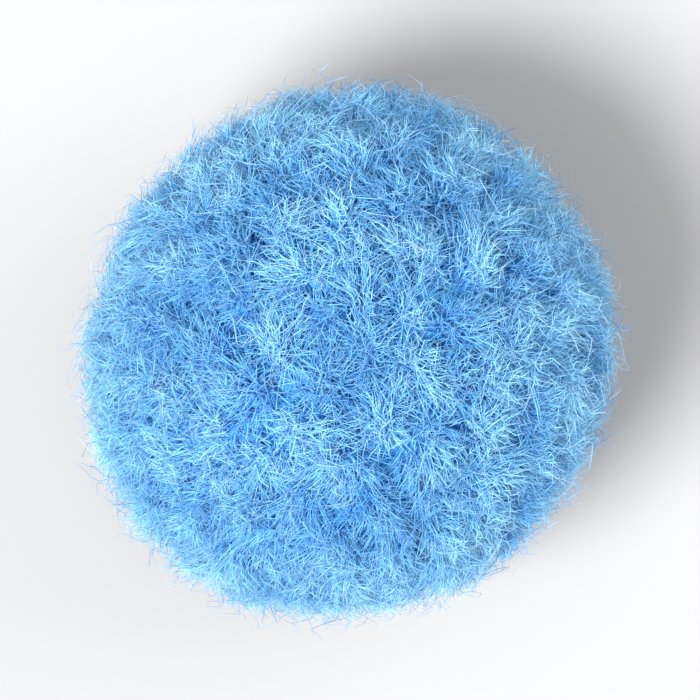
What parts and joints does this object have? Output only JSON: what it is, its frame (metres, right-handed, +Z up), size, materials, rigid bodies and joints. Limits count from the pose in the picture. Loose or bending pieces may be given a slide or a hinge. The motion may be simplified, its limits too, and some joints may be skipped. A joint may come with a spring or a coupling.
{
  "type": "yarn pom pom",
  "caption": "Small round craft pom pom of light blue acrylic yarn, tied at its middle and cut so its soft pile stands out all round; it rests on a small level underside.",
  "frame": {"origin": "on the surface that the pom pom rests on, right under the middle of the ball", "axes": "+Z up from the surface; the ball is nearly the same all round, so +X and +Y are its two level directions as modelled"},
  "size_m": [0.0102, 0.0101, 0.0099],
  "materials": {
    "yarn": "matte, fuzzy"
  },
  "bodies": {
    "root": {"pom_pom": "yarn"}
  },
  "joints": []
}
